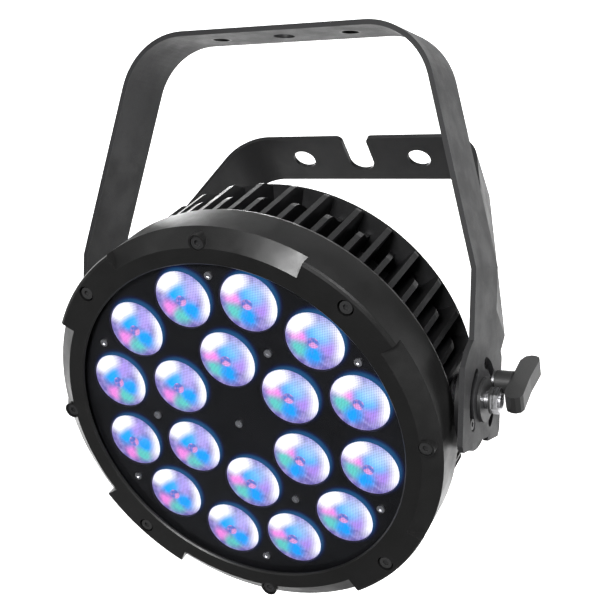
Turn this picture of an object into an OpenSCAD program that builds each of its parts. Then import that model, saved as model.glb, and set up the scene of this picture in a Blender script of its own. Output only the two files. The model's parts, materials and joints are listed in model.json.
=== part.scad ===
// Par can stage light with eighteen lenses, a finned body and a double hanging yoke.
// X runs along the tilt axis, Y points backwards and Z points up. The origin is the centre of the
// hanging hole, on the top face of the front yoke.
// The head is drawn in its own frame: x along the tilt axis, y up the face and z out of the lenses.

/* [Yokes] */
// Height of the front yoke above the tilt axis
front_yoke_h = 209.5; // [200:0.5:230]
// Height of the rear yoke beyond the tilt axis
rear_yoke_h = 188.5; // [180:0.5:192]
// Width of both yoke straps
strap_w = 40; // [34:1:44]
// Thickness of both yoke straps
strap_t = 3; // [2.5:0.1:3.2]
// Outer face of the front yoke's arms, measured from the middle
front_arm_x = 129.5; // [129.5:0.5:134]
// Diameter of the clamp hole in the middle of the front yoke
hang_hole_d = 13; // [10:0.5:14]
// Diameter of the holes in the rear yoke
rear_hole_d = 16; // [12:0.5:18]
// Distance of the side holes from the middle
side_hole_x = 43; // [38:1:48]
// Width of the hook notch in the rear yoke
notch_w = 18; // [12:1:20]

/* [Pose] */
// How far the lenses face below the horizon
head_tilt = 23.7; // [0:0.1:45]
// How far the rear yoke leans behind the front yoke
rear_lean = 40; // [38:0.5:80]

/* [Bezel] */
// Outer radius of the bezel
bezel_r = 121.5; // [120:0.5:122]
// Radius of the opening in the bezel
lip_r = 102; // [100:0.5:103]
// Front of the bezel, measured from the lens plate
bezel_z = 5.5; // [5.5:0.5:8]
// Angle that each flat pad covers
pad_angle = 30; // [24:1:36]

/* [Lenses] */
// Radius of the outer circle of lenses
outer_pitch_r = 80; // [79:0.5:81]
// Radius of the inner circle of lenses
inner_pitch_r = 41; // [39:0.5:42]
// Diameter of one lens
lens_d = 35; // [30:0.5:36]

/* [Body] */
// Number of cooling fins
fin_count = 72; // [48:12:72]
// Thickness of one fin
fin_t = 3.2; // [2:0.1:4]
// Radius over the fins
fin_r = 118; // [112:0.5:118]
// Depth of the body behind the lens plate
body_depth = 121; // [116:1:126]

/* [Pivot] */
// Distance of the tilt axis behind the lens plate
pivot_depth = 48.5; // [45:0.5:52]
// Diameter of the pivot bolts
pivot_d = 10; // [8:0.5:11]
// Radius of the curved slots around the tilt axis
slot_r = 20.5; // [20:0.5:22]
// Width of the curved slots
slot_w = 6.6; // [6.6:0.1:8]
// Diameter of the clamp knob studs
stud_d = 6; // [5:0.5:6]
// How far each clamp knob is turned
knob_turn = -88; // [-180:5:180]

/* [Hidden] */
$fn = 64;
RING_FN = 180;
SIDES = [-1, 1];
OUTER_LENSES = 12;
INNER_LENSES = 6;
LENSES = OUTER_LENSES + INNER_LENSES;

// Small clearances
cut = 1;
run_gap = 0.3;
bore_fit = 0.05;

// Yoke layout
arm_gap = 1;
rear_arm_x = front_arm_x - strap_t - arm_gap;
front_shape = [60, 43, 15];
rear_shape = [65, 28, 17];
strap_end_z = 30;
bend_steps = 16;
end_steps = 7;
paddle_r = 40;
paddle_half_w = 34;
paddle_drop = 25;
paddle_recess = [-16, 12, 2.5];
knob_slot = [-43, 80.5];
guide_slot = [131, 218];
rear_slot = [-6, 203];
guide_angle = 214.5;
guide_d = 6;
guide_socket = [3.4, 2];
notch_depth = 31;
notch_ease = 4;
rear_paddle_r = 29;
plug_gap = 0.1;
plug_skin = 1.2;
plug_wall = 1.3;

// Pivot layout
boss_x = 112;
boss_w = 34;
boss_z = [-79, -33];
boss_corner = 5;
bolt_grip = 15;
bolt_end_r = 4;
shoulder_x = front_arm_x + 4.7;
nut_x = shoulder_x + 1.2;
nut_d = 15;
nut_h = 4.2;
disc_r = 14;
big_washer_r = 12.5;

// Knob layout
knob_x = front_arm_x + 2.3;
knob_top_x = front_arm_x + 22.5;
knob_hub_r = 6.8;
knob_hub_h = 9.4;
knob_half_span = 23;
knob_t = 10;
stud_grip = 14;

// Bezel layout
face_r = 111.7;
chamfer_z = -1.8;
skirt_z = -28;
skirt_t = 2.6;
flange_z = -6;
seat_r = 109;
lip_z = bezel_z - 1.5;
gasket_t = 0.8;
glass_t = 2;
glass_z = lip_z - gasket_t - glass_t;
screw_circle_r = 114.2;
bezel_screw = [2, 3.6, 3.4, 16];
pocket_z = bezel_z - 4.2;
boss_pocket_r = 4;
pad_pocket_r = 4.7;

// Lens stack layout
plate_t = 2;
plate_r = 105;
plate_screw_r = 1.5;
plate_head_r = 2.3;
plate_screw_length = 12;
post_circles = [[0, 1, 0], [55.3, 3, 60], [93.4, 6, 30]];
post_r = 3.6;
board_r = 99;
board_z = -22;
board_t = 1.6;
board_top_z = board_z + board_t;
chip_w = 6;
chip_t = 1.4;
lens_rim_z = -1.5;
lens_top_z = 0.9;
lens_flange_z = -4;
lens_foot_z = -18.4;
lens_foot_r = 6.5;
lens_cone_r = 15.8;
lens_hollow_r = 4;
lens_dome_r = (pow(lens_d / 2, 2) + pow(lens_top_z - lens_rim_z, 2)) / (lens_top_z - lens_rim_z) / 2;
dimple_r = 6;
dimple_depth = 0.8;
holder_r = 18.8;
holder_t = 2;

// Body layout
cup_r = 105.5;
rim_r = bezel_r - skirt_t - 0.1;
base_z = -30;
root_r = 92;
root_end_z = -112;
groove_end_z = -79;
bowl_r = 113.5;
bowl_z = -84.5;
bowl_cavity_r = 104;
bowl_cavity_z = -90;
cavity_r = 87;
throat_r = 76;
throat_z = -108;
rear_r = 84;
fin_full_z = -73;
fin_step_z = -50;
fin_step_end_z = -82;
fin_step_r = 103;
fin_sunk_r = root_r - 3;
relief_w = 39;
relief_z = [-88, -29];

// Rear cover layout
cover_z = -body_depth - 1;
cover_r = 83;
cover_flange_t = 2.5;
cover_t = 3;
panel_z = cover_z - 13;
panel_r = 73;
cover_screw_circle = 79;
cover_screw = [1.5, 2.7, 2, 10];
gasket_r = [76.5, 82.5];

// Panel fittings
panel_in_z = panel_z + cover_t;
window_size = [44, 18];
window_y = 34;
button_step = 16;
button_y = 14;
button_r = 3.7;
button_out = 1.5;
button_flange_r = 5.2;
socket_flange = [26, 31, 2];
socket_hole_r = 12;
socket_depth = 12;
power_bore_r = 10.5;
data_bore_r = 9.5;
socket_x = 22;
data_y = -8;
power_y = -41;
fuse_r = 6;
fuse_cap_r = 7.2;

// Boards and power supply
supply_size = [104, 58, 30];
supply_y = -38;
driver_size = [112, 52, 1.6];
driver_y = 30;
standoff_r = 3;
standoff_h = 10;

// ---------- placing ----------

// Moves the head's own frame to its place between the yokes
module place_head() {
    translate([0, 0, -front_yoke_h])
        rotate([90 + head_tilt, 0, 0])
            translate([0, 0, pivot_depth])
                children();
}

// Moves a yoke drawn about the tilt axis to its place, leaning backwards
module place_yoke(lean) {
    translate([0, 0, -front_yoke_h])
        rotate([-lean, 0, 0])
            children();
}

// Moves parts drawn about the tilt axis to the right-hand and the left-hand pivot
module place_pivots() {
    translate([0, 0, -front_yoke_h])
        both_sides()
            children();
}

module on_side(side) {
    mirror([side < 0 ? 1 : 0, 0, 0])
        children();
}

module both_sides() {
    for (side = SIDES)
        on_side(side)
            children();
}

// Copies its children around the head's axis
module around(count, first = 0) {
    for (i = [0:count - 1])
        rotate([0, 0, first + i * 360 / count])
            children();
}

// The screws that hold the lens plate: one in the middle and two circles
module at_plate_screws() {
    for (c = post_circles)
        around(c[1], c[2])
            translate([c[0], 0, 0])
                children();
}

function lens_angle(i) = i <= OUTER_LENSES
    ? 15 + (i - 1) * 360 / OUTER_LENSES
    : 30 + (i - OUTER_LENSES - 1) * 360 / INNER_LENSES;

function lens_pitch(i) = i <= OUTER_LENSES ? outer_pitch_r : inner_pitch_r;

module at_lens(i) {
    rotate([0, 0, lens_angle(i)])
        translate([lens_pitch(i), 0, 0])
            rotate([0, 0, -lens_angle(i)])
                children();
}

module at_lenses() {
    for (i = [1:LENSES])
        at_lens(i)
            children();
}

// ---------- basic shapes ----------

function on_circle(r, a) = [r * cos(a), r * sin(a)];

module x_cylinder(r, x_from, x_to) {
    translate([x_from, 0, 0])
        rotate([0, 90, 0])
            cylinder(r = r, h = x_to - x_from);
}

module x_ring(r_in, r_out, x_from, x_to) {
    difference() {
        x_cylinder(r_out, x_from, x_to);
        x_cylinder(r_in, x_from - cut, x_to + cut);
    }
}

module disc(r, z_from, z_to) {
    translate([0, 0, z_from])
        cylinder(r = r, h = z_to - z_from, $fn = RING_FN);
}

module hole(r, z_from, z_to) {
    translate([0, 0, z_from])
        cylinder(r = r, h = z_to - z_from);
}

// Turns a flat shape drawn in Y and Z into a plate between two planes across X
module side_plate(x_from, x_to) {
    translate([x_from, 0, 0])
        rotate([90, 0, 90])
            linear_extrude(x_to - x_from)
                children();
}

module rounded_square(w, y_from, y_to, corner) {
    translate([-w / 2 + corner, y_from])
        square([w - corner * 2, y_to - y_from]);
    translate([-w / 2, y_from + corner])
        square([w, y_to - y_from - corner * 2]);
    for (side = SIDES, y = [y_from + corner, y_to - corner])
        translate([side * (w / 2 - corner), y])
            circle(r = corner);
}

function arc_points(centre, r, a_from, a_to, steps) =
    [for (i = [0:steps]) centre + on_circle(r, a_from + (a_to - a_from) * i / steps)];

// A curved slot with round ends
module arc_slot(r, w, a_from, a_to) {
    steps = ceil((a_to - a_from) / 5);
    polygon(concat(
        arc_points([0, 0], r + w / 2, a_from, a_to, steps),
        arc_points(on_circle(r, a_to), w / 2, a_to + 20, a_to + 160, end_steps),
        arc_points([0, 0], r - w / 2, a_to, a_from, steps),
        arc_points(on_circle(r, a_from), w / 2, a_from + 200, a_from + 340, end_steps)
    ));
}

// A screw with its head on the plane z = 0, given as [shank radius, head radius, head height, length]
module socket_screw(size) {
    difference() {
        union() {
            hole(size[0], -size[3], size[2] / 2);
            hole(size[1], 0, size[2]);
        }
        translate([0, 0, size[2] / 2])
            cylinder(r = size[1] * 0.55, h = size[2], $fn = 6);
    }
}

// ---------- yokes ----------

// One edge of a strap from the middle of its crossbar to the end of its right arm, seen from the front.
// shape = [half of the crossbar, bend radius, splay angle]; the inner edge has an inset
function strap_edge(h, shape, arm_x, inset) = let(
    centre = [shape[0], h - shape[1]],
    splay = shape[2],
    outer_end = centre + on_circle(shape[1], splay),
    kink_z = outer_end[1] - (arm_x - outer_end[0]) / tan(splay)
) concat(
    arc_points(centre, shape[1] - inset, 90, splay, bend_steps),
    [[arm_x - inset, kink_z - inset * tan(splay / 2)], [arm_x - inset, strap_end_z]]
);

function reversed(list) = [for (i = [len(list) - 1:-1:0]) list[i]];

function mirrored(list) = [for (p = list) [-p[0], p[1]]];

// A bent strap with a wide paddle at the end of each arm; the child is the paddle's outline
module bent_strap(h, shape, arm_x) {
    outer = strap_edge(h, shape, arm_x, 0);
    inner = strap_edge(h, shape, arm_x, strap_t);
    rotate([90, 0, 0])
        linear_extrude(strap_w, center = true)
            polygon(concat(outer, reversed(inner), mirrored(inner), reversed(mirrored(outer))));
    both_sides()
        side_plate(arm_x - strap_t, arm_x)
            children();
}

module paddle_outline() {
    difference() {
        intersection() {
            circle(r = paddle_r);
            translate([-paddle_half_w, -paddle_drop])
                square([paddle_half_w * 2, paddle_drop * 3]);
        }
        translate([paddle_recess[0], -paddle_drop - cut])
            square([paddle_recess[1] - paddle_recess[0], paddle_recess[2] + cut]);
    }
    translate([-strap_w / 2, 0])
        square([strap_w, strap_end_z + strap_t]);
}

module front_yoke() {
    color([0.16, 0.16, 0.17])
        place_yoke(0)
            difference() {
                bent_strap(front_yoke_h, front_shape, front_arm_x)
                    front_paddle();
                for (x = [-side_hole_x, 0, side_hole_x])
                    translate([x, 0, 0])
                        hole(hang_hole_d / 2, front_yoke_h - strap_t - cut, front_yoke_h + cut);
                both_sides()
                    x_cylinder(pivot_d / 2 + bore_fit, front_arm_x - strap_t - cut, front_arm_x + cut);
            }
}

module front_paddle() {
    difference() {
        paddle_outline();
        arc_slot(slot_r, slot_w, knob_slot[0], knob_slot[1]);
        arc_slot(slot_r, slot_w, guide_slot[0], guide_slot[1]);
    }
}

// Cup-shaped plugs that close the side holes of the front yoke, flush with its top face
module side_plugs() {
    plug_r = hang_hole_d / 2 - plug_gap;
    color([0.05, 0.05, 0.05])
        for (side = SIDES)
            translate([side * side_hole_x, 0, 0])
                difference() {
                    hole(plug_r, -strap_t, 0);
                    hole(plug_r - plug_wall, -strap_t - cut, -plug_skin);
                }
}

module rear_yoke() {
    color([0.05, 0.05, 0.05])
        place_yoke(rear_lean)
            difference() {
                bent_strap(rear_yoke_h, rear_shape, rear_arm_x)
                    rear_paddle();
                for (x = [-side_hole_x, side_hole_x])
                    translate([x, 0, 0])
                        hole(rear_hole_d / 2, rear_yoke_h - strap_t - cut, rear_yoke_h + cut);
                translate([0, 0, rear_yoke_h - strap_t - cut])
                    linear_extrude(strap_t + cut * 2)
                        hook_notch();
                both_sides()
                    x_cylinder(pivot_d / 2 + bore_fit, rear_arm_x - strap_t - cut, rear_arm_x + cut);
                at_guide_screws()
                    x_cylinder(guide_d / 2, rear_arm_x - strap_t - cut, rear_arm_x + cut);
            }
}

module rear_paddle() {
    difference() {
        union() {
            circle(r = rear_paddle_r);
            translate([-strap_w / 2, 0])
                square([strap_w, strap_end_z + strap_t]);
        }
        arc_slot(slot_r, slot_w, rear_slot[0], rear_slot[1]);
    }
}

// The notch open to the front, round at its end and eased at its mouth
module hook_notch() {
    mouth_y = -strap_w / 2;
    end_y = mouth_y + notch_depth - notch_w / 2;
    ease_x = notch_w / 2 + notch_ease;
    ease_y = mouth_y + notch_ease;
    polygon(concat(
        [[-ease_x, mouth_y - cut]],
        arc_points([-ease_x, ease_y], notch_ease, -90, 0, end_steps),
        arc_points([0, end_y], notch_w / 2, 180, 0, bend_steps),
        arc_points([ease_x, ease_y], notch_ease, 180, 270, end_steps),
        [[ease_x, mouth_y - cut]]
    ));
}

// The screws on the rear yoke that run in the guide slots of the front yoke
module at_guide_screws() {
    both_sides()
        rotate([guide_angle + rear_lean, 0, 0])
            translate([0, slot_r, 0])
                children();
}

module guide_screws() {
    color([0.8, 0.8, 0.8])
        place_yoke(rear_lean)
            at_guide_screws()
                difference() {
                    x_cylinder(guide_d / 2, rear_arm_x - strap_t, front_arm_x - run_gap);
                    translate([front_arm_x - run_gap - guide_socket[1], 0, 0])
                        rotate([0, 90, 0])
                            cylinder(d = guide_socket[0], h = guide_socket[1] + cut, $fn = 6);
                }
}

// Thin sliding washers between the arms of the two yokes
module friction_washers() {
    color([0.85, 0.85, 0.8])
        place_pivots()
            x_ring(pivot_d / 2 + bore_fit, disc_r, rear_arm_x, rear_arm_x + arm_gap - run_gap);
}

// ---------- tilt pivots and clamp knobs ----------

module pivot_bolts() {
    color([0.6, 0.6, 0.62])
        place_pivots() {
            x_cylinder(pivot_d / 2, boss_x - bolt_grip, shoulder_x);
            x_cylinder(bolt_end_r, shoulder_x, nut_x + nut_h + 0.7);
        }
}

// Two dished steel discs on each side that hold the arms off the body
module spacer_discs() {
    disc_t = (rear_arm_x - strap_t - run_gap - boss_x) / 2;
    color([0.8, 0.8, 0.82])
        place_pivots()
            for (i = [0, 1])
                translate([boss_x + i * disc_t, 0, 0])
                    rotate([0, 90, 0])
                        dished_disc(disc_r - i * 2, disc_t);
}

module dished_disc(r, t) {
    bore_r = pivot_d / 2 + bore_fit;
    rotate_extrude()
        polygon([
            [bore_r, 0],
            [r * 0.7, 0],
            [r, t * 0.5],
            [r, t * 0.8],
            [r * 0.85, t],
            [bore_r, t]
        ]);
}

module pivot_washers() {
    color([0.12, 0.12, 0.12])
        place_pivots() {
            x_ring(pivot_d / 2, big_washer_r, front_arm_x + run_gap, shoulder_x - 2.5);
            x_ring(bolt_end_r, nut_d / 2, shoulder_x, nut_x);
        }
}

module pivot_nuts() {
    color([0.75, 0.75, 0.77])
        place_pivots()
            difference() {
                translate([nut_x, 0, 0])
                    rotate([0, 90, 0])
                        cylinder(d = nut_d, h = nut_h, $fn = 6);
                x_cylinder(bolt_end_r, nut_x - cut, nut_x + nut_h + cut);
            }
}

// The clamp knobs sit behind the pivots and run through the slots of both yokes
module at_knob(side) {
    place_head()
        on_side(side)
            translate([0, 0, -pivot_depth - slot_r])
                children();
}

module knob_stud(side) {
    color([0.7, 0.7, 0.72])
        at_knob(side)
            x_cylinder(stud_d / 2, boss_x - stud_grip, knob_x + knob_hub_h);
}

module knob_washer(side) {
    color([0.8, 0.8, 0.8])
        at_knob(side)
            x_ring(stud_d / 2 + bore_fit, knob_hub_r - 0.3, front_arm_x + run_gap, knob_x - run_gap);
}

module clamp_knob(side) {
    color([0.05, 0.05, 0.05])
        at_knob(side)
            difference() {
                union() {
                    x_cylinder(knob_hub_r, knob_x, knob_x + knob_hub_h);
                    rotate([knob_turn, 0, 0])
                        linear_extrude(knob_t, center = true)
                            knob_bar();
                }
                x_cylinder(stud_d / 2, knob_x - cut, knob_x + knob_hub_h);
            }
}

// The finger bar of a knob in its own plane, x pointing away from the arm
module knob_bar() {
    foot_x = knob_x + knob_hub_h - 0.2;
    for (side = SIDES)
        scale([1, side])
            polygon([
                [foot_x, 0],
                [foot_x, knob_half_span - 6],
                [foot_x + 2, knob_half_span - 1.5],
                [foot_x + 5, knob_half_span],
                [knob_top_x - 3.5, knob_half_span],
                [knob_top_x - 1, knob_half_span - 1.5],
                [knob_top_x, knob_half_span - 4.5],
                [knob_top_x - 0.8, 0]
            ]);
}

// ---------- bezel, glass and lenses ----------

module front_bezel() {
    color([0.05, 0.05, 0.05])
        place_head()
            difference() {
                union() {
                    difference() {
                        rotate_extrude($fn = RING_FN)
                            bezel_section();
                        around(4, (pad_angle - 90) / 2)
                            rotate_extrude(angle = 90 - pad_angle, $fn = RING_FN)
                                chamfer_section();
                    }
                    around(4)
                        translate([screw_circle_r, 0, 0])
                            hole(boss_pocket_r + 1, chamfer_z, bezel_z);
                }
                around(8)
                    translate([screw_circle_r, 0, 0])
                        hole(bezel_screw[0], flange_z - cut, bezel_z);
                around(4)
                    translate([screw_circle_r, 0, 0])
                        hole(boss_pocket_r, pocket_z, bezel_z + cut);
                around(4, 45)
                    translate([screw_circle_r, 0, 0])
                        hole(pad_pocket_r, pocket_z, bezel_z + cut);
            }
}

// Section of the lip, the flat face with its eased edge, and the skirt
module bezel_section() {
    polygon([
        [lip_r, lip_z],
        [lip_r, bezel_z - 0.8],
        [lip_r + 0.8, bezel_z],
        [bezel_r - 2, bezel_z],
        [bezel_r - 0.6, bezel_z - 0.6],
        [bezel_r, bezel_z - 2],
        [bezel_r, skirt_z + 3],
        [bezel_r - 1.2, skirt_z],
        [bezel_r - skirt_t, skirt_z],
        [bezel_r - skirt_t, flange_z],
        [seat_r, flange_z],
        [seat_r, lip_z]
    ]);
}

// Section of what is cut away between the flat pads
module chamfer_section() {
    slope = (bezel_z - chamfer_z) / (bezel_r - face_r);
    polygon([
        [face_r - cut, bezel_z + cut * slope],
        [bezel_r + cut, chamfer_z - cut * slope],
        [bezel_r + cut, bezel_z + cut * slope]
    ]);
}

module bezel_screws() {
    color([0.1, 0.1, 0.1])
        place_head()
            around(8)
                translate([screw_circle_r, 0, pocket_z])
                    socket_screw(bezel_screw);
}

module front_gasket() {
    color([0.1, 0.1, 0.1])
        place_head()
            difference() {
                disc(seat_r - 0.5, lip_z - gasket_t, lip_z);
                disc(lip_r + 0.5, lip_z - gasket_t - cut, lip_z + cut);
            }
}

module front_glass() {
    color([0.8, 0.85, 0.9])
        place_head()
            disc(seat_r - 0.5, glass_z, glass_z + glass_t);
}

module lens_plate() {
    color([0.05, 0.05, 0.06])
        place_head()
            difference() {
                disc(plate_r, -plate_t, 0);
                at_lenses()
                    hole(lens_d / 2 + 0.15, -plate_t - cut, cut);
                at_plate_screws()
                    hole(plate_screw_r, -plate_t - cut, cut);
            }
}

module lens_plate_screws() {
    color([0.5, 0.5, 0.52])
        place_head()
            at_plate_screws()
                socket_screw([plate_screw_r, plate_head_r, 1, plate_screw_length]);
}

// A lens with a flat dome and a dimple, above a cone that opens over its light source
module lens(i) {
    color([0.85, 0.82, 0.95])
        place_head()
            at_lens(i)
                rotate_extrude()
                    difference() {
                        intersection() {
                            polygon([
                                [0, lens_foot_z],
                                [lens_foot_r, lens_foot_z],
                                [lens_cone_r, lens_flange_z],
                                [lens_d / 2, lens_flange_z],
                                [lens_d / 2, lens_top_z + cut],
                                [0, lens_top_z + cut]
                            ]);
                            translate([0, lens_top_z - lens_dome_r])
                                circle(r = lens_dome_r);
                        }
                        translate([0, lens_top_z - dimple_depth + dimple_r])
                            circle(r = dimple_r);
                        translate([-lens_hollow_r, lens_foot_z - cut])
                            square([lens_hollow_r * 2, lens_hollow_r + cut]);
                    }
}

module lens_holders() {
    color([0.1, 0.1, 0.1])
        place_head()
            at_lenses()
                difference() {
                    hole(holder_r, board_top_z, -plate_t);
                    hole(holder_r - holder_t, board_top_z - cut, -plate_t + cut);
                    hole(lens_d / 2, lens_flange_z, -plate_t + cut);
                }
}

module led_board() {
    color([0.9, 0.9, 0.88])
        place_head()
            difference() {
                disc(board_r, board_z, board_top_z);
                at_plate_screws()
                    hole(post_r + 0.2, board_z - cut, board_top_z + cut);
            }
}

module led_chips() {
    color([0.95, 0.9, 0.5])
        place_head()
            at_lenses()
                translate([-chip_w / 2, -chip_w / 2, board_top_z])
                    cube([chip_w, chip_w, chip_t]);
}

// ---------- body ----------

module heatsink_body() {
    color([0.08, 0.08, 0.08])
        place_head()
            difference() {
                union() {
                    finned_shell();
                    pivot_blocks();
                    at_plate_screws()
                        hole(post_r, board_z - cut, -plate_t);
                }
                at_plate_screws()
                    hole(plate_screw_r, -plate_screw_length - cut, -plate_t + cut);
                around(8)
                    translate([screw_circle_r, 0, 0])
                        hole(bezel_screw[0], pocket_z - bezel_screw[3] - cut, flange_z + cut);
                around(6)
                    translate([cover_screw_circle, 0, 0])
                        hole(cover_screw[0], -body_depth - cut, cover_z + cover_screw[3]);
                both_sides()
                    translate([0, 0, -pivot_depth]) {
                        x_cylinder(pivot_d / 2, boss_x - bolt_grip, boss_x + cut);
                        translate([0, 0, -slot_r])
                            x_cylinder(stud_d / 2 + bore_fit, boss_x - stud_grip - cut, boss_x + cut);
                    }
            }
}

module finned_shell() {
    rotate_extrude($fn = RING_FN)
        shell_section();
    difference() {
        union() {
            around(fin_count / 2)
                fin()
                    full_fin();
            around(fin_count / 2, 360 / fin_count)
                fin()
                    stepped_fin();
        }
        both_sides()
            translate([fin_sunk_r - cut, -relief_w / 2, relief_z[0]])
                cube([bezel_r - fin_sunk_r, relief_w, relief_z[1] - relief_z[0]]);
    }
}

// Section of the front cup, the base behind the lenses, the tube and the bowl that closes the grooves
module shell_section() {
    polygon([
        [0, board_z],
        [cup_r, board_z],
        [cup_r, glass_z],
        [seat_r, glass_z],
        [seat_r, flange_z],
        [rim_r, flange_z],
        [rim_r, skirt_z],
        [root_r, skirt_z],
        [root_r, groove_end_z],
        [bowl_r, bowl_z],
        [root_r, root_end_z],
        [rear_r, -body_depth],
        [throat_r, -body_depth],
        [throat_r, throat_z],
        [root_r, throat_z + 3],
        [bowl_cavity_r, bowl_cavity_z],
        [cavity_r, boss_z[0] - 2],
        [cavity_r, base_z],
        [0, base_z]
    ]);
}

module fin() {
    rotate([90, 0, 0])
        linear_extrude(fin_t, center = true)
            children();
}

// The outer edge of a fin where it falls in an S-curve between two points
function s_curve(from, to, steps) = [
    for (i = [0:steps])
        [from[0] + (to[0] - from[0]) * (1 - cos(180 * i / steps)) / 2, from[1] + (to[1] - from[1]) * i / steps]
];

// A fin that keeps its full height and then sinks into the bowl behind it
module full_fin() {
    polygon(concat(
        [[fin_sunk_r, skirt_z + cut], [fin_r, skirt_z + cut]],
        s_curve([fin_r, fin_full_z], [bowl_r - 0.9, bowl_z - 0.5], 8),
        [[bowl_r - 3.5, bowl_z - 1.5], [fin_sunk_r, groove_end_z]]
    ));
}

// A fin that steps down in an S-curve half way
module stepped_fin() {
    polygon(concat(
        [[fin_sunk_r, skirt_z + cut], [fin_r, skirt_z + cut]],
        s_curve([fin_r, fin_step_z], [fin_step_r, fin_step_end_z], 8),
        [[fin_sunk_r, groove_end_z]]
    ));
}

// Cast blocks that carry the pivot bolts and the knob studs
module pivot_blocks() {
    both_sides()
        translate([fin_sunk_r, 0, 0])
            rotate([0, 90, 0])
                linear_extrude(boss_x - fin_sunk_r)
                    rotate(90)
                        rounded_square(boss_w, boss_z[0], boss_z[1], boss_corner);
}

// ---------- inside the body ----------

module power_supply() {
    color([0.75, 0.76, 0.78])
        place_head()
            translate([-supply_size[0] / 2, supply_y - supply_size[1] / 2, base_z - supply_size[2]])
                cube(supply_size);
}

module driver_board() {
    color([0.1, 0.4, 0.2])
        place_head()
            difference() {
                translate([0, driver_y, base_z - standoff_h - driver_size[2] / 2])
                    cube(driver_size, center = true);
                at_standoffs()
                    hole(standoff_r / 2, -standoff_h - driver_size[2] - cut, -standoff_h + cut);
            }
}

module board_standoffs() {
    color([0.75, 0.7, 0.4])
        place_head()
            at_standoffs() {
                hole(standoff_r, -standoff_h, 0);
                hole(standoff_r / 2, -standoff_h - driver_size[2] - 2, -standoff_h);
            }
}

module at_standoffs() {
    for (x = SIDES, y = SIDES)
        translate([
            x * (driver_size[0] / 2 - 6),
            driver_y + y * (driver_size[1] / 2 - 5),
            base_z
        ])
            children();
}

// ---------- rear cover ----------

module rear_cover() {
    color([0.06, 0.06, 0.06])
        place_head()
            difference() {
                rotate_extrude($fn = RING_FN)
                    cover_section();
                around(6)
                    translate([cover_screw_circle, 0, 0])
                        hole(cover_screw[0], cover_z - cover_flange_t - cut, cover_z + cut);
                translate([0, window_y, panel_z + cover_t / 2])
                    cube([window_size[0], window_size[1], cover_t + cut * 2], center = true);
                for (i = [0:3])
                    at_button(i)
                        hole(button_r + run_gap, -cut, cover_t + cut);
                at_sockets()
                    hole(socket_hole_r, -cut, cover_t + cut);
                at_fuse()
                    hole(fuse_r, -cut, cover_t + cut);
            }
}

module cover_section() {
    polygon([
        [0, panel_z],
        [panel_r, panel_z],
        [panel_r + 2, cover_z - cover_flange_t],
        [cover_r, cover_z - cover_flange_t],
        [cover_r, cover_z],
        [panel_r, cover_z],
        [panel_r - cover_t, panel_in_z],
        [0, panel_in_z]
    ]);
}

module rear_cover_screws() {
    color([0.5, 0.5, 0.52])
        place_head()
            around(6)
                translate([cover_screw_circle, 0, cover_z - cover_flange_t])
                    mirror([0, 0, 1])
                        socket_screw(cover_screw);
}

module rear_gasket() {
    color([0.12, 0.12, 0.12])
        place_head()
            difference() {
                disc(gasket_r[1], cover_z, -body_depth);
                disc(gasket_r[0], cover_z - cut, -body_depth + cut);
                around(6)
                    translate([cover_screw_circle, 0, 0])
                        hole(cover_screw[0], cover_z - cut, -body_depth + cut);
            }
}

module display_window() {
    color([0.1, 0.12, 0.16])
        place_head()
            translate([0, window_y, panel_z + cover_t / 2]) {
                cube([window_size[0], window_size[1], cover_t], center = true);
                translate([0, 0, cover_t])
                    cube([window_size[0] + 6, window_size[1] + 6, cover_t], center = true);
            }
}

module at_button(i) {
    translate([(i - 1.5) * button_step, button_y, panel_z])
        children();
}

// Round push button with a flange behind the panel
module button(i) {
    color([0.2, 0.2, 0.2])
        place_head()
            at_button(i) {
                hole(button_r, -button_out, cover_t + 2);
                hole(button_flange_r, cover_t + run_gap, cover_t + 2);
            }
}

module at_sockets() {
    for (x = SIDES, y = [data_y, power_y])
        translate([x * socket_x, y, panel_z])
            children();
}

// A round socket on a square flange, drawn about the panel's outer face
module socket(x, y, bore_r) {
    color([0.08, 0.08, 0.1])
        place_head()
            translate([x, y, panel_z])
                difference() {
                    union() {
                        translate([0, 0, -socket_flange[2]])
                            linear_extrude(socket_flange[2])
                                rounded_square(
                                    socket_flange[0],
                                    -socket_flange[1] / 2,
                                    socket_flange[1] / 2,
                                    3
                                );
                        hole(socket_hole_r, -socket_flange[2], socket_depth + 3);
                    }
                    hole(bore_r, -socket_flange[2] - cut, socket_depth);
                }
}

module at_fuse() {
    translate([0, power_y, panel_z])
        children();
}

module fuse_holder() {
    color([0.07, 0.07, 0.07])
        place_head()
            at_fuse()
                difference() {
                    hole(fuse_r, 0, 16);
                    hole(fuse_r - 2 + run_gap, -cut, 12);
                }
}

// Turning cap with a finger bar and a tail that reaches into its holder
module fuse_cap() {
    color([0.12, 0.12, 0.12])
        place_head()
            at_fuse() {
                hole(fuse_cap_r, -3.3, -run_gap);
                hole(fuse_r - 2, -run_gap - cut, 10);
                translate([-fuse_cap_r + 1, -1, -5.3])
                    cube([fuse_cap_r * 2 - 2, 2, 3]);
            }
}

// ---------- nodes ----------

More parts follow.
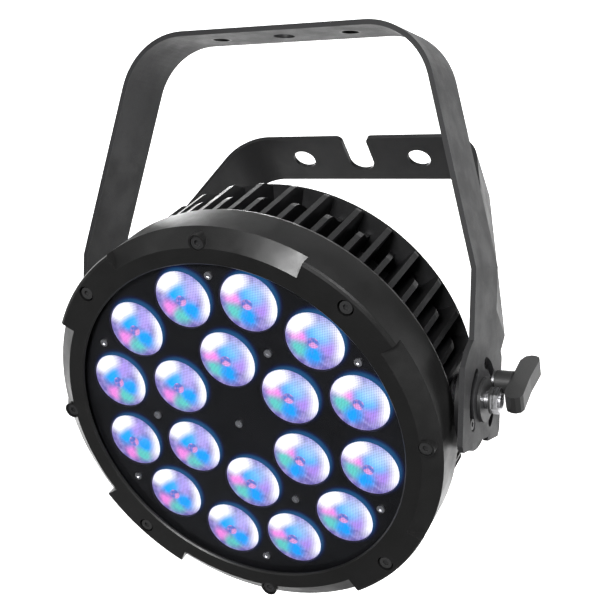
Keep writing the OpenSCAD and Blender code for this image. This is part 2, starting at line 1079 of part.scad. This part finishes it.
front_yoke();
side_plugs();
rear_yoke();
guide_screws();
friction_washers();
pivot_bolts();
spacer_discs();
pivot_washers();
pivot_nuts();
clamp_knob(1);  // right_knob
clamp_knob(-1);  // left_knob
knob_stud(1);  // right_knob_stud
knob_stud(-1);  // left_knob_stud
knob_washer(1);  // right_knob_washer
knob_washer(-1);  // left_knob_washer
front_bezel();
bezel_screws();
front_gasket();
front_glass();
lens_plate();
lens_plate_screws();
lens_holders();
led_board();
led_chips();
heatsink_body();
power_supply();
driver_board();
board_standoffs();
rear_cover();
rear_cover_screws();
rear_gasket();
display_window();
button(0);  // menu_button
button(1);  // up_button
button(2);  // down_button
button(3);  // enter_button
socket(-socket_x, power_y, power_bore_r);  // power_inlet
socket(socket_x, power_y, power_bore_r);  // power_outlet
socket(-socket_x, data_y, data_bore_r);  // data_in_socket
socket(socket_x, data_y, data_bore_r);  // data_out_socket
fuse_holder();
fuse_cap();
for (i = [1:LENSES])
    lens(i);
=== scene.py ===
"""Looks of the par can light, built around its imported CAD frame."""
import json
import math
import random

import bmesh
import bpy
from mathutils import Matrix, Vector


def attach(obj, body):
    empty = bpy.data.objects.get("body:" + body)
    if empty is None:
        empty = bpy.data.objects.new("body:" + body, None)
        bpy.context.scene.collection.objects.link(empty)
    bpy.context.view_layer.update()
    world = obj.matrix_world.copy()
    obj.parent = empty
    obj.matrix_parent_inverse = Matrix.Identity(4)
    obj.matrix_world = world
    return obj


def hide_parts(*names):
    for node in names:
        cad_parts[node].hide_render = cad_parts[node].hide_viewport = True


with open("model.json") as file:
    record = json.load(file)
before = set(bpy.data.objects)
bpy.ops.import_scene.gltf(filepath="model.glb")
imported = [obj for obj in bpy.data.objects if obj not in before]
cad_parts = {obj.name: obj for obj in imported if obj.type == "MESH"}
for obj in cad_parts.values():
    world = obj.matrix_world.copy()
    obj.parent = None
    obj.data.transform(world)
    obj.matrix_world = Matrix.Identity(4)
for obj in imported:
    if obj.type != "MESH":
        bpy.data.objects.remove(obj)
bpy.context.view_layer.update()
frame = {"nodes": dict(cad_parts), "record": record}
NODES = frame["nodes"]
MM = 0.001
random.seed(7)

# ---------- the head's own frame: x along the tilt axis, y up the face, z out of the lenses ----------
HEAD_TILT = math.radians(23.7)
YOKE_H = 0.2095
PIVOT_DEPTH = 0.0485
HEAD = (
    Matrix.Translation((0, 0, -YOKE_H))
    @ Matrix.Rotation(math.pi / 2 + HEAD_TILT, 4, "X")
    @ Matrix.Translation((0, 0, PIVOT_DEPTH))
)


# ---------- node material helpers ----------
class Nodes:
    """Small helper that builds a node material step by step."""

    def __init__(self, name):
        self.mat = bpy.data.materials.new(name)
        self.mat.use_nodes = True
        self.tree = self.mat.node_tree
        self.tree.nodes.clear()
        self.out = self.add("ShaderNodeOutputMaterial")

    def add(self, kind, **values):
        node = self.tree.nodes.new(kind)
        for key, value in values.items():
            if key.startswith("i_"):
                node.inputs[key[2:].replace("_", " ")].default_value = value
            else:
                setattr(node, key, value)
        return node

    def link(self, a, b):
        self.tree.links.new(a, b)

    def coords(self):
        return self.add("ShaderNodeTexCoord").outputs["Object"]

    def noise(self, scale, detail=4.0, rough=0.55, vector=None):
        node = self.add("ShaderNodeTexNoise", i_Scale=scale, i_Detail=detail, i_Roughness=rough)
        self.link(vector or self.coords(), node.inputs["Vector"])
        return node.outputs["Fac"]

    def ramp(self, value, stops):
        node = self.add("ShaderNodeValToRGB")
        ramp = node.color_ramp
        while len(ramp.elements) < len(stops):
            ramp.elements.new(0.5)
        for element, (at, colour) in zip(ramp.elements, stops):
            element.position = at
            element.color = (*colour, 1) if len(colour) == 3 else colour
        self.link(value, node.inputs["Fac"])
        return node.outputs["Color"]

    def math(self, op, a, b=None, clamp=False):
        node = self.add("ShaderNodeMath", operation=op, use_clamp=clamp)
        for socket, value in zip(node.inputs, (a, b)):
            if value is None:
                continue
            if isinstance(value, (int, float)):
                socket.default_value = value
            else:
                self.link(value, socket)
        return node.outputs[0]

    def mix(self, factor, a, b):
        node = self.add("ShaderNodeMix", data_type="RGBA")
        for socket, value in ((node.inputs[0], factor), (node.inputs[6], a), (node.inputs[7], b)):
            if isinstance(value, (int, float)):
                socket.default_value = value
            elif isinstance(value, tuple):
                socket.default_value = (*value, 1)
            else:
                self.link(value, socket)
        return node.outputs[2]

    def span(self, value, low, high, to_low=0.0, to_high=1.0):
        node = self.add("ShaderNodeMapRange", interpolation_type="SMOOTHSTEP")
        self.link(value, node.inputs[0])
        for i, v in enumerate((low, high, to_low, to_high), 1):
            node.inputs[i].default_value = v
        return node.outputs[0]

    def bump(self, height, strength, distance):
        node = self.add("ShaderNodeBump", i_Strength=strength, i_Distance=distance)
        self.link(height, node.inputs["Height"])
        return node.outputs["Normal"]

    def edge_wear(self, radius):
        """Bright where an edge is sharp: the difference between a rounded and a flat normal."""
        bevel = self.add("ShaderNodeBevel", i_Radius=radius, samples=4)
        geometry = self.add("ShaderNodeNewGeometry")
        dot = self.add("ShaderNodeVectorMath", operation="DOT_PRODUCT")
        self.link(bevel.outputs[0], dot.inputs[0])
        self.link(geometry.outputs["Normal"], dot.inputs[1])
        return self.span(dot.outputs["Value"], 0.995, 0.8)

    def surface(self, **values):
        shader = self.add("ShaderNodeBsdfPrincipled")
        for key, value in values.items():
            socket = shader.inputs[key.replace("_", " ")]
            if isinstance(value, (int, float, tuple)):
                socket.default_value = (*value, 1) if isinstance(value, tuple) and len(value) == 3 else value
            else:
                self.link(value, socket)
        self.link(shader.outputs[0], self.out.inputs["Surface"])
        return shader


def coat(name, colour, light, rough, grain=2600.0, bump=0.25, wear=0.35, spec=0.45):
    """Powder coat or paint: fine orange-peel grain, slow colour drift and lighter edges."""
    m = Nodes(name)
    vector = m.coords()
    drift = m.noise(9.0, 3.0, 0.6, vector)
    grainy = m.noise(grain, 2.0, 0.6, vector)
    base = m.ramp(drift, [(0.35, colour), (0.7, light)])
    speck = m.mix(m.span(grainy, 0.45, 0.75, 0.0, 0.5), base, tuple(c * 1.6 + 0.001 for c in light))
    worn = m.mix(m.math("MULTIPLY", m.edge_wear(0.0007), wear), speck, tuple(c * 2.2 + 0.008 for c in light))
    roughness = m.span(m.noise(60.0, 4.0, 0.6, vector), 0.3, 0.7, rough - 0.06, rough + 0.07)
    normal = m.bump(grainy, bump, 0.00012)
    m.surface(Base_Color=worn, Roughness=roughness, Specular_IOR_Level=spec, Normal=normal)
    return m.mat


def metal(name, colour, rough, streak=900.0, dark=0.6):
    """Plated or turned steel with fine streaks and a little tarnish."""
    m = Nodes(name)
    vector = m.coords()
    stretched = m.add("ShaderNodeMapping")
    stretched.inputs["Scale"].default_value = (streak, streak * 0.08, streak * 0.08)
    m.link(vector, stretched.inputs["Vector"])
    streaks = m.noise(1.0, 3.0, 0.6, stretched.outputs[0])
    stain = m.noise(120.0, 5.0, 0.65, vector)
    base = m.mix(m.span(stain, 0.4, 0.75), colour, tuple(c * dark for c in colour))
    roughness = m.span(streaks, 0.3, 0.7, rough - 0.08, rough + 0.1)
    m.surface(Base_Color=base, Metallic=1.0, Roughness=roughness, Normal=m.bump(streaks, 0.15, 0.00005))
    return m.mat


def plastic(name, colour, rough, grain=1400.0, bump=0.2, spec=0.5):
    """Moulded plastic or rubber with a fine spark-eroded grain."""
    m = Nodes(name)
    vector = m.coords()
    grainy = m.noise(grain, 3.0, 0.7, vector)
    drift = m.noise(25.0, 3.0, 0.5, vector)
    base = m.mix(m.span(drift, 0.3, 0.75), colour, tuple(c * 1.5 + 0.001 for c in colour))
    roughness = m.span(grainy, 0.3, 0.7, rough - 0.05, rough + 0.08)
    normal = m.bump(grainy, bump, 0.0001)
    m.surface(Base_Color=base, Roughness=roughness, Specular_IOR_Level=spec, Normal=normal)
    return m.mat


def clear_glass(name):
    """Thin clear pane: see-through, with a weak reflection that rises at low angles."""
    m = Nodes(name)
    smear = m.noise(30.0, 4.0, 0.6)
    fresnel = m.add("ShaderNodeFresnel", i_IOR=1.2)
    factor = m.math("MULTIPLY", fresnel.outputs[0], m.span(smear, 0.3, 0.8, 0.5, 0.65))
    gloss = m.add("ShaderNodeBsdfGlossy")
    gloss.inputs["Color"].default_value = (0.9, 0.93, 1, 1)
    m.link(m.span(smear, 0.35, 0.8, 0.02, 0.09), gloss.inputs["Roughness"])
    through = m.add("ShaderNodeBsdfTransparent")
    through.inputs["Color"].default_value = (0.985, 0.99, 1, 1)
    blend = m.add("ShaderNodeMixShader")
    m.link(factor, blend.inputs[0])
    m.link(through.outputs[0], blend.inputs[1])
    m.link(gloss.outputs[0], blend.inputs[2])
    m.link(blend.outputs[0], m.out.inputs["Surface"])
    return m.mat


LENS_R = 17.5 * MM
GRID_PITCH = 1.3 * MM
SPILL_SHIFT = Vector((0.0024, 0.0026, 0))
OUTER_LENSES = 12
LENSES = 18
OUTER_PITCH_R = 0.08
INNER_PITCH_R = 0.041


def lens_place(i):
    """Centre of lens i on the head: the outer circle first, then the inner one."""
    outer = i <= OUTER_LENSES
    angle = math.radians(15 + (i - 1) * 30 if outer else 30 + (i - 13) * 60)
    pitch = OUTER_PITCH_R if outer else INNER_PITCH_R
    return Vector((pitch * math.cos(angle), pitch * math.sin(angle), 0))


def lens_light(name):
    """Lit collimator lens: coloured patches from its four dies, white crescents at the rim, a fine grid."""
    m = Nodes(name)
    coord = m.add("ShaderNodeTexCoord")
    scaled = m.add("ShaderNodeVectorMath", operation="SCALE")
    scaled.inputs["Scale"].default_value = 1 / LENS_R
    m.link(coord.outputs["Object"], scaled.inputs[0])
    here = scaled.outputs[0]
    turn = m.add("ShaderNodeAttribute", attribute_type="OBJECT", attribute_name="die_turn")
    glow = m.add("ShaderNodeAttribute", attribute_type="OBJECT", attribute_name="glow")
    turned = m.add("ShaderNodeVectorRotate", rotation_type="Z_AXIS")
    m.link(here, turned.inputs["Vector"])
    m.link(turn.outputs["Fac"], turned.inputs["Angle"])

    def patch(source, x, y, size_x, size_y=None, hard=0.0):
        offset = m.add("ShaderNodeVectorMath", operation="SUBTRACT")
        offset.inputs[1].default_value = (x, y, 0)
        m.link(source, offset.inputs[0])
        ratio = m.add("ShaderNodeVectorMath", operation="MULTIPLY")
        ratio.inputs[1].default_value = (1 / size_x, 1 / (size_y or size_x), 0)
        m.link(offset.outputs[0], ratio.inputs[0])
        length = m.add("ShaderNodeVectorMath", operation="LENGTH")
        m.link(ratio.outputs[0], length.inputs[0])
        return m.span(length.outputs["Value"], 1.0, hard)

    ragged = m.noise(3.4, 2.5, 0.5, here)
    colour = m.mix(m.span(ragged, 0.35, 0.7), (0.17, 0.14, 0.45), (0.4, 0.34, 0.74))
    spots = (
        (patch(turned.outputs[0], 0.55, 0.05, 0.45, 0.5), (0.42, 0.26, 0.82)),
        (patch(turned.outputs[0], -0.55, 0.0, 0.46, 0.42), (0.95, 0.27, 0.8)),
        (patch(turned.outputs[0], -0.36, -0.42, 0.55, 0.46), (0.12, 0.62, 0.56)),
        (patch(turned.outputs[0], 0.06, 0.34, 0.62, 0.5), (0.0, 0.4, 1.0)),
        (patch(turned.outputs[0], 0.1, -0.46, 0.46, 0.55), (0.0, 0.36, 1.0)),
    )
    for mask, tint in spots:
        fuzzy = m.math("MULTIPLY", mask, m.span(ragged, 0.3, 0.65, 0.95, 1.6), clamp=True)
        colour = m.mix(fuzzy, colour, tint)
    pale = m.math("MULTIPLY", patch(here, 0.44, 0.4, 0.8, 0.66), glow.outputs["Fac"], clamp=True)
    colour = m.mix(m.math("MULTIPLY", pale, 0.7), colour, (0.6, 0.8, 1.0))
    white = (0.93, 0.92, 1.0)
    inside = patch(here, 0.24, -0.34, 1.06, 1.06, 0.72)
    upper = patch(here, -0.5, 0.72, 0.86, 0.68, 0.45)
    left_cap = m.math("MULTIPLY", m.math("SUBTRACT", 1.0, inside), upper, clamp=True)
    right_in = patch(here, -0.15, 0.05, 1.06, 1.06, 0.66)
    right_side = patch(here, 0.95, -0.1, 0.8, 1.0, 0.3)
    right_cap = m.math("MULTIPLY", m.math("SUBTRACT", 1.0, right_in), right_side, clamp=True)
    white_area = m.math("MAXIMUM", left_cap, right_cap)
    colour = m.mix(white_area, colour, white)
    wall = patch(here, 0.0, 0.0, 1.0, 1.0, 0.975)
    rim = m.math("SUBTRACT", 1.0, wall, clamp=True)
    colour = m.mix(m.math("MULTIPLY", rim, 0.85), colour, (0.6, 0.55, 1.0))

    grid_at = m.add("ShaderNodeVectorRotate", rotation_type="Z_AXIS")
    grid_at.inputs["Angle"].default_value = 0.9
    m.link(coord.outputs["Object"], grid_at.inputs["Vector"])
    split = m.add("ShaderNodeSeparateXYZ")
    m.link(grid_at.outputs[0], split.inputs[0])
    waves = [m.math("SINE", m.math("MULTIPLY", split.outputs[i], 2 * math.pi / GRID_PITCH)) for i in (0, 1)]
    grid = m.math("MULTIPLY", waves[0], waves[1])
    shade = m.span(grid, -0.8, 0.8, 0.42, 1.2)
    dimple = patch(here, 0.0, 0.0, 0.2, 0.2, 0.85)
    hue_mask = m.span(m.noise(3.2, 2.0, 0.5, turned.outputs[0]), 0.42, 0.58)
    hue = m.mix(hue_mask, (0.1, 0.14, 0.55), (0.85, 0.3, 0.6))
    colour = m.mix(m.math("MULTIPLY", dimple, 0.75), colour, hue)
    white_shade = m.span(grid, -0.8, 0.8, 0.72, 1.15)
    white_strength = m.math("MULTIPLY", white_area, white_shade)
    strength = m.math("MAXIMUM", m.math("MULTIPLY", shade, 0.95), white_strength)
    m.surface(
        Base_Color=m.mix(0.7, colour, (0.02, 0.02, 0.03)),
        Roughness=m.span(ragged, 0.3, 0.7, 0.1, 0.2),
        Specular_IOR_Level=0.4,
        Emission_Color=colour,
        Emission_Strength=strength,
        Normal=m.bump(grid, 0.25, 0.0001),
    )
    return m.mat


def lit_plate(name):
    """Black lens plate with a painted blue glow beside every lens: the lens light spilling over the edge and
    reflected on the plate, painted as emission.
    """
    m = Nodes(name)
    vector = m.coords()
    grainy = m.noise(900.0, 3.0, 0.7, vector)
    drift = m.span(m.noise(25.0, 3.0, 0.5, vector), 0.3, 0.75)
    base = m.mix(drift, (0.004, 0.004, 0.0045), (0.007, 0.007, 0.008))
    to_head = m.add("ShaderNodeMapping")
    turn_back = Matrix.Rotation(-(math.pi / 2 + HEAD_TILT), 4, "X")
    to_head.inputs["Rotation"].default_value = turn_back.to_euler()
    to_head.inputs["Location"].default_value = turn_back @ Vector((0, 0, YOKE_H)) - Vector((0, 0, PIVOT_DEPTH))
    m.link(vector, to_head.inputs["Vector"])
    # painted light: an emissive ring around each lens, shifted up and right, stands in for the lens light
    # reflected on the plate
    painted_spill = None
    for i in range(1, LENSES + 1):
        offset = m.add("ShaderNodeVectorMath", operation="DISTANCE")
        offset.inputs[1].default_value = lens_place(i) + SPILL_SHIFT
        m.link(to_head.outputs[0], offset.inputs[0])
        near = m.span(offset.outputs["Value"], LENS_R + 0.0035, LENS_R - 0.002)
        painted_spill = near if painted_spill is None else m.math("MAXIMUM", painted_spill, near)
    tint = m.mix(m.span(painted_spill, 0.35, 0.95), (0.0, 0.02, 0.25), (0.01, 0.13, 0.36))
    m.surface(
        Base_Color=base,
        Roughness=m.span(grainy, 0.3, 0.7, 0.4, 0.53),
        Specular_IOR_Level=0.2,
        Emission_Color=tint,
        Emission_Strength=m.math("MULTIPLY", painted_spill, m.math("MULTIPLY", painted_spill, 0.55)),
        Normal=m.bump(grainy, 0.1, 0.0001),
    )
    return m.mat


def board(name, colour, trace):
    """Circuit board: solder mask with faint copper traces showing through."""
    m = Nodes(name)
    brick = m.add("ShaderNodeTexBrick", i_Scale=260.0, i_Mortar_Size=0.03)
    m.link(m.coords(), brick.inputs["Vector"])
    lines = m.span(brick.outputs["Fac"], 0.2, 0.8)
    base = m.mix(m.math("MULTIPLY", lines, 0.6), colour, trace)
    m.surface(Base_Color=base, Roughness=m.span(m.noise(300.0), 0.3, 0.7, 0.3, 0.45),
              Normal=m.bump(lines, 0.3, 0.00005))
    return m.mat


MATERIALS = {
    "yoke": coat("charcoal_coat", (0.016, 0.016, 0.017), (0.024, 0.024, 0.025), 0.5, spec=0.25),
    "rear_strap": coat("black_coat", (0.004, 0.004, 0.0045), (0.007, 0.007, 0.0075), 0.45, spec=0.25),
    "steel": metal("bright_zinc", (0.66, 0.66, 0.68), 0.28),
    "dark_steel": coat("black_oxide", (0.014, 0.014, 0.015), (0.03, 0.03, 0.03), 0.4, 3000.0, 0.15),
    "body": coat("black_casting", (0.005, 0.005, 0.0055), (0.009, 0.009, 0.0095), 0.42, 1500.0, 0.3, 0.25, 0.3),
    "bezel": coat("satin_black", (0.006, 0.006, 0.006), (0.01, 0.01, 0.01), 0.36, 2200.0, 0.2, 0.25, 0.3),
    "rubber": plastic("black_rubber", (0.012, 0.012, 0.012), 0.7),
    "glass": clear_glass("front_pane"),
    "lens": lens_light("lit_lens"),
    "plate": lit_plate("lens_plate_black"),
    "plastic": plastic("black_plastic", (0.015, 0.015, 0.015), 0.42),
    "board": board("white_board", (0.75, 0.75, 0.72), (0.55, 0.5, 0.4)),
    "green_board": board("green_board", (0.02, 0.16, 0.06), (0.1, 0.35, 0.12)),
    "chip": plastic("phosphor", (0.9, 0.75, 0.3), 0.3),
    "supply": metal("supply_tin", (0.7, 0.71, 0.72), 0.35),
    "brass": metal("turned_brass", (0.75, 0.58, 0.25), 0.25),
    "window": plastic("dark_window", (0.01, 0.012, 0.02), 0.1, 400.0, 0.03),
    "key": plastic("grey_key", (0.06, 0.06, 0.065), 0.6),
}
for entry in frame["record"]["subparts"]:
    mesh = NODES[entry["node"]].data
    mesh.materials.clear()
    mesh.materials.append(MATERIALS[entry["material_slot"]])


def soften(node, width, segments=2, angle=30):
    """Round the CAD node's edges a little, so they catch the light."""
    modifier = NODES[node].modifiers.new("edges", "BEVEL")
    modifier.width = width
    modifier.segments = segments
    modifier.limit_method = "ANGLE"
    modifier.angle_limit = math.radians(angle)
    modifier.harden_normals = True


# ---------- mesh helpers ----------
def piece(name, mesh, body, slot, place):
    """Place a mesh in the scene as a piece that rides the named body."""
    obj = bpy.data.objects.new(name, mesh)
    bpy.context.scene.collection.objects.link(obj)
    obj.matrix_world = place
    if not mesh.materials:
        mesh.materials.append(MATERIALS[slot])
    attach(obj, body)
    return obj


def lathe(name, profile, steps=64):
    """Turn a list of (radius, height) points about Z into a mesh, with shared points on the axis."""
    bm = bmesh.new()
    rings = []
    for r, z in profile:
        if r < 1e-9:
            rings.append([bm.verts.new((0, 0, z))])
        else:
            rings.append([
                bm.verts.new((r * math.cos(2 * math.pi * i / steps), r * math.sin(2 * math.pi * i / steps), z))
                for i in range(steps)
            ])
    for a, b in zip(rings, rings[1:]):
        for i in range(steps):
            j = (i + 1) % steps
            if len(a) == 1 and len(b) > 1:
                bm.faces.new((a[0], b[j], b[i]))
            elif len(b) == 1 and len(a) > 1:
                bm.faces.new((a[i], a[j], b[0]))
            elif len(a) > 1 and len(b) > 1:
                bm.faces.new((a[i], a[j], b[j], b[i]))
    bmesh.ops.recalc_face_normals(bm, faces=bm.faces)
    mesh = bpy.data.meshes.new(name)
    bm.to_mesh(mesh)
    bm.free()
    for polygon in mesh.polygons:
        polygon.use_smooth = True
    return mesh


# ---------- lenses ----------
def lens_mesh():
    """Domed collimator lens with a dimple on top and a hollow foot over the chip."""
    rim_z, top_z, flange_z, foot_z = (v * MM for v in (-1.5, 0.9, -4.0, -18.4))
    dome_r = (LENS_R ** 2 + (top_z - rim_z) ** 2) / (top_z - rim_z) / 2
    dome = [(0, top_z - 0.0008), (0.0015, top_z - 0.00066), (0.0026, top_z - 0.0002), (0.0031, top_z - 0.00005)]
    for i in range(1, 15):
        r = 0.0031 + (LENS_R - 0.0004 - 0.0031) * i / 14
        dome.append((r, top_z - dome_r + math.sqrt(dome_r ** 2 - r ** 2)))
    edge = [(LENS_R - 0.0001, rim_z - 0.0001), (LENS_R, rim_z - 0.0004), (LENS_R, flange_z)]
    cone = [(0.0158, flange_z), (0.0065, foot_z), (0.004, foot_z), (0.004, foot_z + 0.004), (0, foot_z + 0.004)]
    return lathe("lens_shell", dome + edge + cone, 72)


shell = lens_mesh()
for i in range(1, LENSES + 1):
    at = lens_place(i)
    lens = piece(f"lens_look_{i}", shell, "head", "lens", HEAD @ Matrix.Translation(at))
    lens["die_turn"] = 0.9 * at.x / OUTER_PITCH_R + random.uniform(-0.35, 0.35)
    lens["glow"] = 0.55 + 0.4 * at.x / OUTER_PITCH_R
    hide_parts(f"lens_{i}")

# ---------- edges of the carried-over nodes ----------
for node, width in (
    ("front_yoke", 0.0005), ("rear_yoke", 0.0005), ("front_bezel", 0.0005), ("heatsink_body", 0.0004),
    ("rear_cover", 0.0006), ("bezel_screws", 0.0003), ("lens_plate_screws", 0.0002), ("side_plugs", 0.0004),
    ("spacer_discs", 0.0004), ("pivot_washers", 0.0003), ("pivot_nuts", 0.0003), ("rear_cover_screws", 0.0002),
    ("display_window", 0.0005), ("fuse_cap", 0.0004), ("power_inlet", 0.0004), ("power_outlet", 0.0004),
    ("data_in_socket", 0.0004), ("data_out_socket", 0.0004), ("guide_screws", 0.0004), ("pivot_bolts", 0.0005),
):
    soften(node, width)
for node in ("right_knob", "left_knob"):
    soften(node, 0.0012, 4, 40)

# ---------- camera ----------
CAMERA_LENS_MM = 68.18
CAMERA_AT = (0.3152, -0.6095, 0.0889 - YOKE_H)
camera = bpy.data.objects.new("camera", bpy.data.cameras.new("camera"))
bpy.context.scene.collection.objects.link(camera)
camera.data.sensor_width = 36
camera.data.lens = CAMERA_LENS_MM
camera.data.clip_end = 50
right = Vector((0.8964, 0.4425, 0.0241))
up = Vector((-0.0472, 0.0413, 0.9981))
back = Vector((0.4407, -0.8958, 0.0580))
turn = Matrix((right, up, back)).transposed().to_4x4()
camera.matrix_world = Matrix.Translation(CAMERA_AT) @ turn
bpy.context.scene.camera = camera

# ---------- studio ----------
SWEEP_Y = 1.4
SWEEP_R = 0.9
SWEEP_STEPS = 12
FLOOR_Z = -0.62


def backdrop():
    """Paper sweep: painted shade towards the viewer, dark paper standing in for the unlit front of the studio;
    white and glowing behind the object as a back light.
    """
    profile = [(-3.0, 0.0), (SWEEP_Y, 0.0)]
    for i in range(1, SWEEP_STEPS + 1):
        a = math.pi / (2 * SWEEP_STEPS) * i
        profile.append((SWEEP_Y + SWEEP_R * math.sin(a), SWEEP_R - SWEEP_R * math.cos(a)))
    profile.append((SWEEP_Y + SWEEP_R, 4.0))
    bm = bmesh.new()
    rows = [[bm.verts.new((x, y, z + FLOOR_Z)) for y, z in profile] for x in (-5.0, 5.0)]
    for i in range(len(profile) - 1):
        bm.faces.new((rows[0][i], rows[1][i], rows[1][i + 1], rows[0][i + 1]))
    mesh = bpy.data.meshes.new("backdrop")
    bm.to_mesh(mesh)
    bm.free()
    for polygon in mesh.polygons:
        polygon.use_smooth = True
    m = Nodes("paper")
    drift = m.noise(6.0, 4.0)
    place = m.add("ShaderNodeTexCoord")
    split = m.add("ShaderNodeSeparateXYZ")
    m.link(place.outputs["Object"], split.inputs[0])
    # painted shade: the paper turns dark towards the viewer, and white and emissive further back
    depth = m.span(split.outputs[1], -0.1, 0.78)
    tone = m.mix(depth, m.mix(drift, (0.1, 0.1, 0.1), (0.12, 0.12, 0.12)), (0.9, 0.9, 0.9))
    glow = m.math("ADD", m.math("MULTIPLY", depth, 0.98), 0.02)
    m.surface(Base_Color=tone, Roughness=0.9, Specular_IOR_Level=0.0, Emission_Color=(1.0, 1.0, 1.0),
              Emission_Strength=glow)
    mesh.materials.append(m.mat)
    obj = bpy.data.objects.new("backdrop", mesh)
    bpy.context.scene.collection.objects.link(obj)
    obj.matrix_world = Matrix.Rotation(math.radians(26), 4, "Z")


def softbox(name, place, aim, size, power, colour=(1, 1, 1)):
    light = bpy.data.lights.new(name, "AREA")
    light.shape = "RECTANGLE"
    light.size, light.size_y = size
    light.energy = power
    light.color = colour
    obj = bpy.data.objects.new(name, light)
    bpy.context.scene.collection.objects.link(obj)
    obj.location = place
    obj.rotation_euler = (Vector(aim) - Vector(place)).to_track_quat("-Z", "Y").to_euler()
    obj.visible_camera = False


backdrop()
MIDDLE = (0, 0, -0.2)
softbox("front", (0.29, -1.61, 0.25), MIDDLE, (0.45, 0.45), 34)
softbox("side", (1.2, -0.5, 1.5), MIDDLE, (0.7, 0.7), 17)
softbox("top", (-0.5, 0.1, 1.7), MIDDLE, (0.9, 0.6), 6)
softbox("low_right", (1.7, -0.3, -0.45), MIDDLE, (0.6, 0.4), 22)
softbox("kicker", (-1.2, -1.2, 0.3), MIDDLE, (0.4, 0.4), 2)
softbox("back", (-0.8, 1.3, 0.35), MIDDLE, (0.6, 0.5), 14)

world = bpy.data.worlds.new("studio")
bpy.context.scene.world = world
world.use_nodes = True
world.node_tree.nodes["Background"].inputs[0].default_value = (1, 1, 1, 1)
world.node_tree.nodes["Background"].inputs[1].default_value = 0.05
bpy.context.scene.view_settings.view_transform = "Standard"
